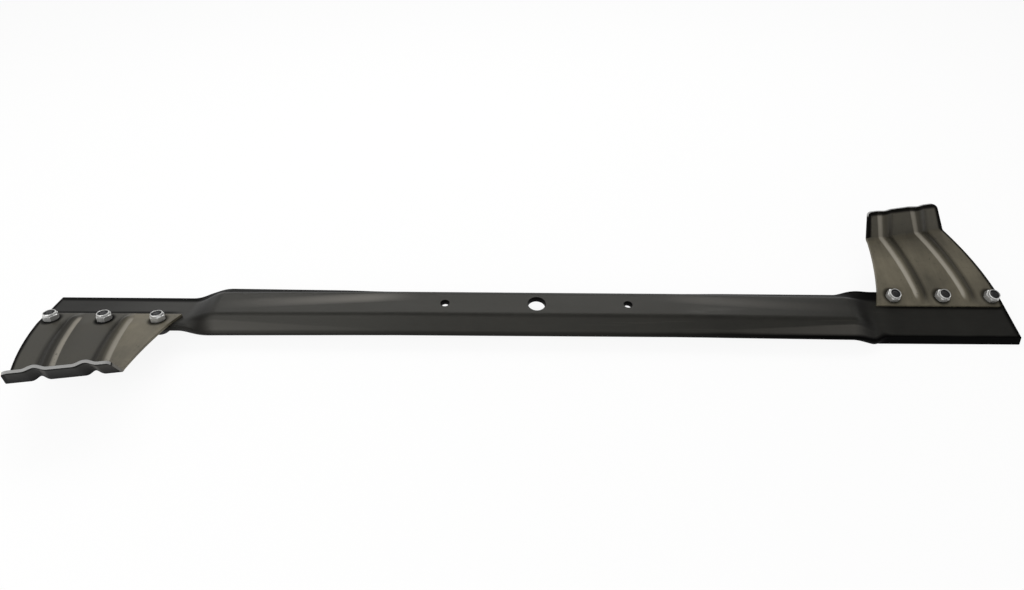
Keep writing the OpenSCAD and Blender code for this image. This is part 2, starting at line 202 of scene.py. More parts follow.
class FinishColours(bpy.types.PropertyGroup):
    """Colours of the finishes."""

    bar_dark: colour("Bar, dark", "Darker tone of the bar's oxide", 0.0047, 0.0047, 0.0041)
    bar_light: colour("Bar, light", "Lighter tone of the bar's oxide", 0.0157, 0.0150, 0.0127)
    # This colour paints a sheen on the brims and a highlight streak along the flares.
    bar_painted_sheen: colour("Bar, rubbed", "Rubbed brims and flares of the bar", 0.1000, 0.0933, 0.0840)
    # This colour is also mixed in as painted shade, away from the edges too.
    bar_edge_and_shade: colour("Bar, edges", "Rolled, sheared and ground edges of the bar", 0.0010, 0.0010, 0.0010)
    wing_dark: colour("Wing, dark", "Darker tone of the wings", 0.0120, 0.0113, 0.0087)
    wing_light: colour("Wing, light", "Lighter tone of the wings", 0.1367, 0.1200, 0.0833)
    # This colour paints a highlight on the rib flanks that face the middle of the blade.
    wing_rib_highlight: colour("Wing, ribs", "Rubbed flanks of the ribs", 0.2600, 0.2400, 0.2000)
    # This colour is also mixed in as painted shade along the edges, beside the ribs, round the nuts and
    # under the wings.
    wing_edge_and_shade: colour("Wing, edges", "Soot along the edges of the wings", 0.0010, 0.0010, 0.0010)
    wing_cut: colour("Wing, cut edge", "Bare steel of the lip's cut edge", 0.2800, 0.2800, 0.2767)
    zinc: colour("Zinc", "Bright zinc of the nuts", 0.66, 0.66, 0.645)
    zinc_dull: colour("Dull zinc", "Handled zinc", 0.50, 0.50, 0.485)
    bolt: colour("Bolt", "Blackened steel of the bolts", 0.0200, 0.0200, 0.0207)
    nylon: colour("Locking ring", "Nylon of the locking rings", 0.0080, 0.0080, 0.0093)
    floor: colour("Floor", "Pale studio floor", 0.93, 0.93, 0.92)


class StageSettings(bpy.types.PropertyGroup):
    """Camera, floor and light."""

    camera_x: length("Camera X", "Place of the camera along the bar", -27.159)
    camera_y: length("Camera Y", "Place of the camera across the bar", -327.035)
    camera_z: length("Camera Z", "Height of the camera above the web", 358.647)
    camera_azimuth: angle("Camera azimuth", "Turn of the view to the right of +Y", 1.207)
    camera_elevation: angle("Camera elevation", "Height of the view above the horizon", 46.82)
    camera_roll: angle("Camera roll", "Roll of the camera about its view", 1.347)
    lens: number("Lens", "Focal length in millimetres on a 36 mm sensor", 21.0)
    floor_size: length("Floor size", "Side of the floor", 40000)
    overhead_power: number("Overhead power", "Watts of the soft lamp above and behind the blade", 3.6)
    window_power: number("Window power", "Watts of the soft lamp at the front left", 3.45)
    front_power: number("Front power", "Watts of the soft lamp behind the camera", 0.99)
    room_light: number("Room light", "Light from the room overhead", 0.27)
    horizon_light: number("Horizon light", "Light that the room adds near the horizon", 0.75)
    left_light: number("Left light", "Light that the room adds at the left", 0.36)


def settings():
    """The scene's own settings."""
    return bpy.context.scene


# Node sockets as values


class Wire:
    """One output socket of a node tree, so that maths on values is written as Python expressions."""

    def __init__(self, tree, socket=None):
        self.tree = tree
        self.socket = socket

    def node(self, kind, links=None, out=0, **options):
        """Adds a node: options first, then values or links of its sockets. Returns an output, if any."""
        made = self.tree.nodes.new(kind)
        for name, value in options.items():
            setattr(made, name, value)
        for key, value in (links or {}).items():
            if isinstance(value, Wire):
                self.tree.links.new(value.socket, made.inputs[key])
            else:
                made.inputs[key].default_value = value
        return Wire(self.tree, made.outputs[out] if made.outputs else None)

    def math(self, operation, *values):
        """A Math node on values."""
        return self.node("ShaderNodeMath", dict(enumerate(values)), operation=operation)

    def __add__(self, other):
        return self.math("ADD", self, other)

    __radd__ = __add__

    def __sub__(self, other):
        return self.math("SUBTRACT", self, other)

    def __rsub__(self, other):
        return self.math("SUBTRACT", other, self)

    def __mul__(self, other):
        return self.math("MULTIPLY", self, other)

    __rmul__ = __mul__

    def __truediv__(self, other):
        return self.math("DIVIDE", self, other)

    def __rtruediv__(self, other):
        return self.math("DIVIDE", other, self)

    def __pow__(self, other):
        return self.math("POWER", self, other)

    def share(self):
        """The value held between 0 and 1."""
        return self.node("ShaderNodeClamp", {"Value": self})

    def level(self):
        """A ramp of a share that is level at both ends."""
        return self * self * (3 - 2 * self)

    def step(self, low, high):
        """0 below low, 1 above high, and level at both ends between them."""
        return ((self - low) / (high - low)).share().level()


def mix(low, high, share):
    """From low to high by a share, for numbers and wires alike."""
    return low + (high - low) * share


def least(first, *others):
    """The least of several wires."""
    for other in others:
        first = first.math("MINIMUM", first, other)
    return first


def most(first, *others):
    """The greatest of several wires."""
    for other in others:
        first = first.math("MAXIMUM", first, other)
    return first


# Meshes


def closed_loft(rings, name):
    """A mesh between closed rings of points, which run over the top and back along the underside."""
    cols = len(rings[0])
    last = (len(rings) - 1) * cols
    faces = []
    for start in range(0, last, cols):
        for c in range(cols):
            d = (c + 1) % cols
            faces.append((start + c, start + d, start + d + cols, start + c + cols))
    for i in range(cols // 2 - 1):
        cap = (i, i + 1, cols - 2 - i, cols - 1 - i)
        faces.append(tuple(reversed(cap)))
        faces.append(tuple(last + k for k in cap))
    mesh = bpy.data.meshes.new(name)
    mesh.from_pydata([p for ring in rings for p in ring], [], faces)
    mesh.update()
    return mesh


ROUND_STEPS = 72


def turned(profile, name, radius_at=None):
    """A mesh turned about Z from [radius, height] points. radius_at can place a point by its turn."""
    verts, faces = [], []
    for k in range(ROUND_STEPS):
        turn = 2 * math.pi * k / ROUND_STEPS
        for point in profile:
            r, z = radius_at(point, turn) if radius_at else point
            verts.append((r * math.cos(turn), r * math.sin(turn), z))
    n = len(profile)
    for k in range(ROUND_STEPS):
        a, b = k * n, (k + 1) % ROUND_STEPS * n
        for i in range(n - 1):
            faces.append((a + i, b + i, b + i + 1, a + i + 1))
    mesh = bpy.data.meshes.new(name)
    mesh.from_pydata(verts, [], faces)
    bm = bmesh.new()
    bm.from_mesh(mesh)
    bmesh.ops.remove_doubles(bm, verts=bm.verts, dist=1e-7)
    bmesh.ops.dissolve_degenerate(bm, edges=bm.edges, dist=1e-8)
    bmesh.ops.recalc_face_normals(bm, faces=bm.faces)
    bm.to_mesh(mesh)
    bm.free()
    return mesh


def smooth_by_angle(mesh, degrees):
    """Smooth faces, with edges sharper than the angle kept sharp."""
    bm = bmesh.new()
    bm.from_mesh(mesh)
    limit = math.radians(degrees)
    for face in bm.faces:
        face.smooth = True
    for edge in bm.edges:
        edge.smooth = len(edge.link_faces) == 2 and edge.calc_face_angle(0.0) < limit
    bm.to_mesh(mesh)
    bm.free()


def new_object(name, data):
    """An object in the scene's own collection, at the origin."""
    obj = bpy.data.objects.new(name, data)
    bpy.context.scene.collection.objects.link(obj)
    return obj


def plain_mesh(obj):
    """Replaces an object's mesh and modifiers by what they make."""
    bpy.context.view_layer.update()
    depsgraph = bpy.context.evaluated_depsgraph_get()
    made = bpy.data.meshes.new_from_object(
        obj.evaluated_get(depsgraph), preserve_all_data_layers=True, depsgraph=depsgraph
    )
    obj.modifiers.clear()
    old = obj.data
    obj.data = made
    bpy.data.meshes.remove(old)
    if not made.polygons:
        raise RuntimeError(f"{obj.name} came out empty")


def stand_for(obj, node):
    """Puts a finished piece in the place of a CAD node."""
    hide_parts(node)
    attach(obj, BODY)


# Blade bar


def share_of(value):
    """The value held between 0 and 1."""
    return max(0.0, min(1.0, value))


def level_ramp(share):
    """A ramp that is level at both ends."""
    return share * share * (3 - 2 * share)


class BarForm:
    """Sections of the pressed bar, from its sizes."""

    WEB_STEPS = 3
    BEND_STEPS = 8
    FLANGE_STEPS = 4
    BRIM_STEPS = 6
    BRIM_FLAT_STEPS = 4
    RIM_STEPS = 4
    CORNER_STEPS = 5
    RIM = 4 * MM
    BRIM_MARGIN = 1 * MM
    LEAST_FLAT = 0.1 * MM
    BRIM_TURN_SHARE = 0.35
    MIDDLE_STATIONS = 6
    FLARE_STATIONS = 20
    DROP_STATIONS = 28
    PLATE_STATIONS = 9
    PLATE_RUN_IN = 6 * MM
    PLATE_RUN_IN_STATIONS = 6
    TIP_TURNS = (0, 20, 40, 60, 80, 90)

    def __init__(self, sizes):
        self.sizes = sizes
        self.half = sizes.stock_thickness / 2
        self.tip_x = sizes.blade_length / 2
        self.plate_start = self.tip_x - sizes.plate_length
        self.drop_start = self.plate_start - sizes.drop_length
        self.web_bend = (sizes.web_bend_radius - self.half) * sizes.flange_angle
        self.brim_bend = sizes.brim_radius * (sizes.flange_angle - sizes.cutting_brim_angle)
        self.brim_margin = sizes.stock_corner + self.BRIM_MARGIN
        self.cutting_edge = sizes.plate_front - sizes.edge_grind

    def flare(self, x):
        """Share of the flare at a station."""
        return share_of((abs(x) - self.sizes.flare_start) / (self.drop_start - self.sizes.flare_start))

    def drop(self, x):
        """Share of the drop at a station, level at both ends."""
        return level_ramp(share_of((abs(x) - self.drop_start) / self.sizes.drop_length))

    def ground(self, x):
        """Share of the ground cutting edge at a station, level at both ends."""
        start = self.plate_start - self.sizes.edge_start
        return level_ramp(share_of((abs(x) - start) / self.sizes.edge_runout))

    def brim_place(self, x):
        """Place across the half width where the brim's crease starts."""
        sizes = self.sizes
        return mix(
            sizes.stock_width / 2 - self.brim_margin - self.brim_bend,
            sizes.web_half + self.web_bend + sizes.flange_left,
            self.flare(x),
        )

    def slopes(self, x, cutting):
        """Angles of the flange and the brim, falling outwards."""
        sizes = self.sizes
        level = sizes.end_tilt if cutting else -sizes.end_tilt
        turned_in = level_ramp(share_of(self.flare(x) / self.BRIM_TURN_SHARE))
        outwards = sizes.cutting_brim_angle if cutting else sizes.trailing_brim_angle
        brim = mix(sizes.flange_angle, outwards, turned_in)
        return mix(sizes.flange_angle, level, self.drop(x)), mix(brim, level, self.drop(x))

    def places(self, x, cutting):
        """Places across the half width, from the middle of the web to the start of the rolled corner."""
        sizes = self.sizes
        crease = self.brim_place(x)
        plate = sizes.plate_front if cutting else sizes.plate_back
        end = mix(sizes.stock_width / 2, plate, self.drop(x)) - sizes.stock_corner
        marks = [
            (sizes.web_half, self.WEB_STEPS),
            (sizes.web_half + self.web_bend, self.BEND_STEPS),
            (crease, self.FLANGE_STEPS),
            (crease + self.brim_bend, self.BRIM_STEPS),
            (max(end - self.RIM, crease + self.brim_bend + self.LEAST_FLAT), self.BRIM_FLAT_STEPS),
            (end, self.RIM_STEPS),
        ]
        found = [0.0]
        for mark, steps in marks:
            start = found[-1]
            found += [mix(start, mark, (i + 1) / steps) for i in range(steps)]
        return found

    def middle_line(self, x, cutting, web):
        """Middle line of a half section as [place, across, up, slope]."""
        sizes = self.sizes
        flange, brim = self.slopes(x, cutting)
        crease = self.brim_place(x)

        def slope_at(s):
            if s <= sizes.web_half + self.web_bend:
                return mix(web, flange, share_of((s - sizes.web_half) / self.web_bend))
            return mix(flange, brim, share_of((s - crease) / self.brim_bend))

        height = mix(-sizes.flare_fall * self.flare(x), -sizes.end_drop, self.drop(x))
        across, up = -self.half * math.sin(web), height - self.half * math.cos(web)
        line = [(0.0, across, up, web)]
        for s in self.places(x, cutting)[1:]:
            before = line[-1]
            slope = slope_at((s + before[0]) / 2)
            across += (s - before[0]) * math.cos(slope)
            up -= (s - before[0]) * math.sin(slope)
            line.append((s, across, up, slope_at(s)))
        return line

    def half_outline(self, x, cutting, web, inset):
        """Upper and lower outline of a half section as [across, up, distance from edge, share of brim]."""
        sizes = self.sizes
        line = self.middle_line(x, cutting, web)
        end, corner = line[-1][0], sizes.stock_corner
        rise = self.half - corner
        flat = self.brim_place(x) + self.brim_bend
        ground = self.ground(x) if cutting else 0.0
        upper_end = self.cutting_edge - sizes.stock_thickness / math.tan(sizes.edge_angle)

        def shifted(s, limit):
            if s <= flat or not ground:
                return s
            return mix(s, flat + (s - flat) * (limit - flat) / (end - flat), ground)

        upper = [(shifted(p[0], upper_end), self.half, k) for k, p in enumerate(line)]
        lower = [(shifted(p[0], self.cutting_edge), -self.half, k) for k, p in enumerate(line)]
        last = len(line) - 1
        edge_up, edge_low = [], []
        steps = self.CORNER_STEPS
        for i in range(1, steps + 1):
            turn = math.radians(90 - 90 * i / steps)
            out, up = end + corner * math.cos(turn), rise + corner * math.sin(turn)
            part = i / (2 * steps + 1)
            for edge, share, height in ((edge_up, part, up), (edge_low, 1 - part, -up)):
                face_out = mix(upper_end, self.cutting_edge, share)
                face_up = mix(self.half, -self.half, share)
                edge.append((mix(out, face_out, ground), mix(height, face_up, ground), last))
        reach = end + corner

        def placed(s, w, k):
            _, across, up, slope = line[k]
            out = s - inset * s / reach - line[k][0]
            w = w * (1 - inset / self.half)
            return (
                across + out * math.cos(slope) + w * math.sin(slope),
                up - out * math.sin(slope) + w * math.cos(slope),
            )

        crease = self.brim_place(x)
        flared = self.flare(x) * (1 - self.drop(x))

        def face(points):
            reach = points[-1][0]
            brims = [flared * share_of((line[k][0] - crease) / self.brim_bend) for _, _, k in points]
            return [(*placed(s, w, k), reach - s, brim) for (s, w, k), brim in zip(points, brims)]

        top = face(upper) + [(*placed(*p), 0.0, 0.0) for p in edge_up]
        bottom = [(*placed(*p), 0.0, 0.0) for p in reversed(edge_low)] + list(reversed(face(lower)))
        return top, bottom

    def ring(self, x, inset=0.0):
        """Ring of points at a station, each with its distance from an edge and its share of brim."""
        sizes = self.sizes
        side = 1 if x >= 0 else -1
        web = side * sizes.end_tilt * self.drop(x)
        far = self.half_outline(x, x < 0, -web, inset)
        near = self.half_outline(x, x >= 0, web, inset)
        points = [(-y, *rest) for y, *rest in reversed(near[0][1:])]
        points += far[0] + far[1]
        points += [(-y, *rest) for y, *rest in reversed(near[1][:-1])]
        slid = share_of((abs(x) - self.plate_start) / sizes.plate_length)
        ring = []
        for y, up, edge, brim in points:
            across = side * y * math.cos(sizes.end_tilt) + (up + sizes.end_drop) * math.sin(sizes.end_tilt)
            back = math.tan(sizes.tip_slant) * (across + self.cutting_edge) * slid
            tip = (self.tip_x - abs(x)) if slid > 0 else self.tip_x
            ring.append(((x - side * back, y, up), min(edge, 0.5 * tip), brim))
        return ring

    def stations(self):
        """Stations along the bar with the inset of their rounding, from tip to tip."""
        sizes = self.sizes
        run_in_end, plate_end = self.plate_start + self.PLATE_RUN_IN, self.tip_x - self.RIM
        stretches = [
            (0.0, sizes.flare_start, self.MIDDLE_STATIONS),
            (sizes.flare_start, self.drop_start, self.FLARE_STATIONS),
            (self.drop_start, self.plate_start, self.DROP_STATIONS),
            (self.plate_start, run_in_end, self.PLATE_RUN_IN_STATIONS),
            (run_in_end, plate_end, self.PLATE_STATIONS),
        ]
        half = [(mix(start, end, i / steps), 0.0) for start, end, steps in stretches for i in range(steps)]
        half = half[1:] + [(plate_end, 0.0)]
        for turn in self.TIP_TURNS:
            a = math.radians(turn)
            back, inset = [sizes.tip_round * (1 - part) for part in (math.sin(a), math.cos(a))]
            half.append((self.tip_x - back, inset))
        return [(-x, inset) for x, inset in reversed(half)] + [(0.0, 0.0)] + half


def hole_cutter(sizes, diameter, x, name):
    """A turned cutter for a hole whose edges are broken on both sides of the web."""
    r, broken, past = diameter / 2, sizes.hole_round, 2 * MM
    low = -sizes.stock_thickness
    profile = [
        (0.0, past),
        (r + broken + past, past),
        (r + broken, 0.0),
        (r + 0.3 * broken, -0.4 * broken),
        (r, -broken),
        (r, low + broken),
        (r + 0.3 * broken, low + 0.4 * broken),
        (r + broken, low),
        (r + broken + past, low - past),
        (0.0, low - past),
    ]
    mesh = turned(profile, name)
    mesh.transform(Matrix.Translation((x, 0, 0)))
    return new_object(name, mesh)


CLEAR_OF_EDGES = 5 * MM


class MOWERBLADE_OT_blade_bar(bpy.types.Operator):
    """Builds the pressed bar with its flared channel, dropped ends, ground edges and holes"""

    bl_idname = "mower_blade.blade_bar"
    bl_label = "Blade bar"

    def execute(self, context):
        sizes = context.scene.mower_bar
        form = BarForm(sizes)
        rings = [form.ring(x, inset) for x, inset in form.stations()]
        mesh = closed_loft([[point[0] for point in ring] for ring in rings], "bar")
        for k, name in enumerate(("edge", "brim"), 1):
            stored = mesh.attributes.new(name, "FLOAT", "POINT")
            stored.data.foreach_set("value", [point[k] for ring in rings for point in ring])
        bar = new_object("bar", mesh)
        spots = [(sizes.centre_hole, 0.0)]
        spots += [(sizes.side_hole, side * sizes.side_hole_spacing / 2) for side in (-1, 1)]
        cutters = [hole_cutter(sizes, d, x, f"hole_cutter_{k}") for k, (d, x) in enumerate(spots)]
        for cutter in cutters:
            cut = bar.modifiers.new("hole", "BOOLEAN")
            cut.object = cutter
            cut.operation = "DIFFERENCE"
            cut.solver = "EXACT"
        plain_mesh(bar)
        for cutter in cutters:
            bpy.data.objects.remove(cutter)
        self.mark_hole_edges(bar.data, spots, sizes)
        smooth_by_angle(bar.data, 28)
        bar.data.materials.clear()
        bar.data.materials.append(bar_finish())
        stand_for(bar, "blade_bar")
        return {"FINISHED"}

    def mark_hole_edges(self, mesh, spots, sizes):
        """The broken edge of a hole counts as an edge, and the web beside it doesn't."""
        edge = mesh.attributes["edge"].data
        for vertex in mesh.vertices:
            for diameter, x in spots:
                away = math.hypot(vertex.co.x - x, vertex.co.y) - diameter / 2
                if away < sizes.hole_round * 0.5:
                    edge[vertex.index].value = 0.0
                elif away < sizes.hole_round * 1.5:
                    edge[vertex.index].value = CLEAR_OF_EDGES


# Wings


END_SIZES = ("blade_length", "plate_back", "end_drop", "end_tilt")


def new_tree(name, sources):
    """A geometry tree and its inputs as wires: the finish, and each size in [group, names] sources."""
    tree = bpy.data.node_groups.new(name, "GeometryNodeTree")
    tree.interface.new_socket("Geometry", in_out="OUTPUT", socket_type="NodeSocketGeometry")
    tree.interface.new_socket("Geometry", in_out="INPUT", socket_type="NodeSocketGeometry")
    tree.interface.new_socket("Finish", in_out="INPUT", socket_type="NodeSocketMaterial")
    keys = ["geometry", "finish"]
    for group, names in sources:
        for key in names:
            prop = group.bl_rna.properties[key]
            kind = "NodeSocketInt" if prop.type == "INT" else "NodeSocketFloat"
            socket = tree.interface.new_socket(prop.name, in_out="INPUT", socket_type=kind)
            socket.description = prop.description
            socket.default_value = prop.default
            keys.append(key)
    given = Wire(tree).node("NodeGroupInput").socket.node
    return tree, {key: Wire(tree, socket) for key, socket in zip(keys, given.outputs)}


def add_tree(obj, label, tree, wires, sources, finish):
    """Adds a tree to an object as a modifier, and sets its inputs by their identifiers."""
    modifier = obj.modifiers.new(label, "NODES")
    modifier.node_group = tree
    modifier[wires["finish"].socket.identifier] = finish
    for group, names in sources:
        for key in names:
            modifier[wires[key].socket.identifier] = getattr(group, key)


def end_tree(shape, finish):
    """Ends a geometry tree: instances made real, and the finish set."""
    real = shape.node("GeometryNodeRealizeInstances", {"Geometry": shape})
    done = real.node("GeometryNodeSetMaterial", {"Geometry": real, "Material": finish})
    done.node("NodeGroupOutput", {0: done})


def end_frame(shape, size, half_turn):
    """Moves a shape from the plane of an end plate to its place on the bar."""
    spin = math.pi if half_turn else 0.0
    tilt = shape.node("ShaderNodeCombineXYZ", {"X": size["end_tilt"]})
    fall = shape.node("ShaderNodeCombineXYZ", {"Z": 0 - size["end_drop"]})
    placed = shape.node("GeometryNodeTransform", {"Geometry": shape, "Rotation": tilt, "Translation": fall})
    return placed.node("GeometryNodeTransform", {"Geometry": placed, "Rotation": (0, 0, spin)})


STRIP_STEPS = (8, 16, 10, 16, 10)
ZONE_STEPS = (8, 18, 12, 12)


def spread(counter, steps):
    """Turns a counter of grid lines into a number that grows by 1 over each group of lines."""
    total, start = 0, 0
    for count in steps:
        total = ((counter - start) / count).share() + total
        start += count
    return total


def between(marks, shares):
    """A place between marks, by the share of each strip."""
    total = marks[0]
    for low, high, share in zip(marks, marks[1:], shares):
        total = total + (high - low) * share
    return total


def wing_tree(half_turn, sources):
    """The wing's sheet: a grid whose columns run from the foot over the fold to the top of the lip."""
    tree, size = new_tree("wing_sheet_left" if half_turn else "wing_sheet_right", sources)
    w = Wire(tree)
    columns, rows = sum(STRIP_STEPS), sum(ZONE_STEPS)
    grid = w.node(
        "GeometryNodeMeshGrid",
        {"Size X": columns, "Size Y": rows, "Vertices X": columns + 1, "Vertices Y": rows + 1},
    )
    at = w.node("GeometryNodeInputPosition")
    column = at.node("ShaderNodeSeparateXYZ", {0: at}, out=0) + columns / 2
    row = at.node("ShaderNodeSeparateXYZ", {0: at}, out=1) + rows / 2
    strip, zone = spread(column, STRIP_STEPS), spread(row, ZONE_STEPS)
    shares = [(strip - k).share() for k in range(len(STRIP_STEPS))]
    first_rib, second_rib = shares[1], shares[3]
    shares[0] = shares[0] * shares[0]
    shares[-1] = 1 - (1 - shares[-1]) * (1 - shares[-1])
    in_foot, in_panel, in_fold, in_lip = [(zone - k).share() for k in range(len(ZONE_STEPS))]

    # Places along the foot, the fold and the lip's top edge
    def along(edge, rib):
        first, second, half_rib = size["first_rib_" + edge], size["second_rib_" + edge], size[rib] * 0.5
        width = size[edge + "_width"]
        marks = [0 * width, first - half_rib, first + half_rib, second - half_rib, second + half_rib, width]
        return between(marks, shares)

    along_foot, along_fold = along("foot", "rib_width"), along("fold", "rib_fold_width")
    fold_share = along_fold / size["fold_width"]
    along_top = along("fold", "rib_top_width")
    lean = mix(size["lip_inner_lean"], size["lip_outer_lean"], along_top / size["fold_width"])
    lip_along = along_top - lean

    # Flat part, from the foot to the start of the fold
    skew = size["fold_skew"]
    cos_skew, sin_skew = skew.math("COSINE", skew), skew.math("SINE", skew)
    tangent = size["fold_radius"] * size["lip_angle"].math("TANGENT", size["lip_angle"] * 0.5)
    foot_x = size["blade_length"] * 0.5 - size["foot_inset"] - size["foot_width"]
    foot_y = size["plate_back"] - size["foot_lap"]
    bend_x = foot_x + size["fold_shift"] + along_fold * cos_skew + tangent * sin_skew
    bend_y = size["plate_back"] + size["panel_reach"] + along_fold * sin_skew - tangent * cos_skew
    edge_share = size["foot_lap"] / (bend_y - foot_y)
    flat = edge_share * in_foot + (1 - edge_share) * in_panel
    bow = mix(size["inner_bow"], size["outer_bow"], fold_share) * 4 * flat * (1 - flat)
    flat_x = mix(foot_x + along_foot, bend_x, flat) + bow
    flat_y = mix(foot_y, bend_y, flat)

    # Fold and lip
    def corner_loss(radius, away):
        inside = radius.math("MAXIMUM", radius - away, 0)
        return radius - radius.math("SQRT", radius * radius - inside * inside)

    lip_end = size["fold_width"] - size["lip_outer_lean"]
    top = size["lip_height"] - corner_loss(size["lip_inner_corner"], lip_along + size["lip_inner_lean"])
    top = top - corner_loss(size["lip_outer_corner"], lip_end - lip_along)
    turn = size["lip_angle"] * in_fold
    sin_turn, cos_turn = turn.math("SINE", turn), turn.math("COSINE", turn)
    rise = (top - tangent) * in_lip
    across = size["fold_radius"] * sin_turn + rise * cos_turn
    lift = size["fold_radius"] * (1 - cos_turn) + rise * sin_turn
    slide = (lip_along - along_fold) * (tangent * in_fold + rise) / size["lip_height"]

    # Ribs, lifted along the sheet's own normal
    def hump(share):
        wave = share.math("SINE", share * math.pi)
        return wave * wave

    rise_share = ((flat_y - foot_y) / size["rib_rise"]).share().level()
    rib = (hump(first_rib) + hump(second_rib)) * rise_share
    raised = rib * mix(size["rib_height"], size["rib_top_height"], in_lip)
    across = across - raised * sin_turn
    x = flat_x + slide * cos_skew - across * sin_skew
    y = flat_y + slide * sin_skew + across * cos_skew
    up = lift + raised * cos_turn

    # The panel hangs a little beyond the bar's trailing edge
    beyond = y.math("MAXIMUM", y - size["plate_back"], 0)
    hang = size["panel_droop"] * (beyond / (2 * MM)).share()
    sin_hang, cos_hang = hang.math("SINE", hang), hang.math("COSINE", hang)
    hung_y = y - beyond + beyond * cos_hang + up * sin_hang
    hung_up = up * cos_hang - beyond * sin_hang + size["thickness"] * 0.5
    spot = x.node("ShaderNodeCombineXYZ", {"X": x, "Y": hung_y, "Z": hung_up})

    # For the finish: distances from the edges, sides of the ribs, where the painted shade beside the ribs
    # falls, the lip and the part past the first rib
    inner, outer = along_fold, size["fold_width"] - along_fold
    lip_left = (top - tangent) * (1 - in_lip) + size["fold_radius"] * (1 - in_fold) * 4
    foot_left = flat_y - foot_y + in_panel + in_fold

    def flank(rib):
        wave = rib**0.8 * 2 * math.pi
        return rib.math("SINE", wave)

    def lee(rib, next_strip):
        return rib.step(0.30, 0.46) * (1 - next_strip.step(0.0, 0.12))

    edge = least(outer, lip_left)
    # Only the right wing counts its inner side as an edge, so the painted edge shade runs there on the right
    # wing and not on the left.
    if not half_turn:
        edge = least(edge, inner + (1 - in_fold) * 20 * MM)
    stored = {
        "edge": edge,
        "cut": least(inner, outer, lip_left, foot_left),
        "flank": (flank(first_rib) + flank(second_rib)) * rise_share,
        "lee": (lee(first_rib, shares[2]) + lee(second_rib, shares[4])) * rise_share,
        "turned": in_fold,
        "top": in_lip,
        "outer": first_rib.level(),
    }
    sheet = grid
    for name, value in stored.items():
        sheet = sheet.node(
            "GeometryNodeStoreNamedAttribute",
            {"Geometry": sheet, "Name": name, "Value": value},
            data_type="FLOAT",
            domain="POINT",
        )
    sheet = sheet.node("GeometryNodeSetPosition", {"Geometry": sheet, "Position": spot})
    end_tree(end_frame(sheet, size, half_turn), size["finish"])
    return tree, size


# The last number of each wing is its painted outer shade, which darkens the strips past its first rib.
WINGS = (("right_wing", False, 0.12), ("left_wing", True, 0.85))
RIM_ROUND = 0.45 * MM
RIM_ANGLE = math.radians(50)
ON_EDGE = 0.01 * MM


class MOWERBLADE_OT_wings(bpy.types.Operator):
    """Builds the two pressed wings with their ribs and turned-up lips"""

    bl_idname = "mower_blade.wings"
    bl_label = "Wings"

    def execute(self, context):
        sizes = context.scene.mower_wing
        sources = ((sizes, WingSizes.__annotations__), (context.scene.mower_bar, END_SIZES))
        for node, half_turn, outer_shade in WINGS:
            finish = wing_finish(node + "_oxide", outer_shade)
            wing = new_object("wing_" + node.split("_")[0], bpy.data.meshes.new(node + "_sheet"))
            tree, wires = wing_tree(half_turn, sources)
            add_tree(wing, "sheet", tree, wires, sources, finish)
            thick = wing.modifiers.new("thickness", "SOLIDIFY")
            thick.thickness = sizes.thickness
            thick.offset = 0
            thick.use_even_offset = True
            rim = wing.modifiers.new("rim", "BEVEL")
            rim.width = RIM_ROUND
            rim.segments = 3
            rim.limit_method = "ANGLE"
            rim.angle_limit = RIM_ANGLE
            plain_mesh(wing)
            self.mark_faces(wing.data)
            smooth_by_angle(wing.data, 40)
            stand_for(wing, node)
        return {"FINISHED"}

    def mark_faces(self, mesh):
        """Marks the rim, whose corners all lie on a cut edge, and the other faces that look down."""
        away = [item.value for item in mesh.attributes["cut"].data]
        rim = [float(all(away[v] < ON_EDGE for v in face.vertices)) for face in mesh.polygons]
        under = [float(face.normal.z < 0) * (1 - on_rim) for face, on_rim in zip(mesh.polygons, rim)]
        mesh.attributes.remove(mesh.attributes["cut"])
        mesh.attributes.new("rim", "FLOAT", "FACE").data.foreach_set("value", rim)
        mesh.attributes.new("under", "FLOAT", "FACE").data.foreach_set("value", under)


# Fasteners


CORNER_SLOPE = math.tan(math.radians(30))
COLLAR_INSET = 0.2 * MM
FIT_CLEARANCE = 0.05 * MM
ROW_SIZES = ("first_bolt", "last_bolt", "bolt_count", "bolt_inset")
FOOT_SIZES = ("foot_inset", "foot_width")


def hexagon_shaper(flats):
    """Shapes a turned profile. A point without a radius lies on the hexagon, at the slope of its corners."""
    sixth = math.pi / 3

    def shape(point, turn):
        r, z = point[:2]
        if r is not None:
            return r, z
        out = flats / 2 / math.cos((turn % sixth) - sixth / 2)
        return out, z + point[2] * (out - flats / 2) * CORNER_SLOPE

    return shape


def nut_mesh(sizes):
    """A lock nut: a hexagon with turned-off corners and a collar that is rolled in over the locking ring."""
    flat = sizes.hex_flats / 2
    collar = flat - COLLAR_INSET
    seat = collar - sizes.collar_wall
    thread = sizes.bolt_d / 2 + FIT_CLEARANCE
    floor = sizes.nut_height - sizes.ring_depth - sizes.ring_height
    tall, top = sizes.hex_height, sizes.nut_height
    profile = [
        (thread, 0.35 * MM),
        (thread + 0.35 * MM, 0.0),
        (flat - 0.25 * MM, 0.0),
        (flat, 0.04 * MM),
        (None, 0.08 * MM, 1),
        (None, 0.22 * MM, 1),
        (None, tall - 0.22 * MM, -1),
        (None, tall - 0.08 * MM, -1),
        (flat, tall - 0.04 * MM),
        (flat - 0.12 * MM, tall),
        (collar, tall + 0.05 * MM),
        (collar - 0.03 * MM, tall + 0.25 * MM),
        (collar - 0.10 * MM, top - 0.75 * MM),
        (collar - 0.28 * MM, top - 0.25 * MM),
        (seat + 0.35 * MM, top - 0.03 * MM),
        (seat + 0.12 * MM, top),
        (seat - 0.10 * MM, top - 0.12 * MM),
        (seat - 0.12 * MM, top - 0.40 * MM),
        (seat - 0.02 * MM, top - 0.48 * MM),
        (seat, floor),
        (thread, floor),
        (thread, 0.35 * MM),
    ]
    return turned(profile, "lock_nut", hexagon_shaper(sizes.hex_flats))


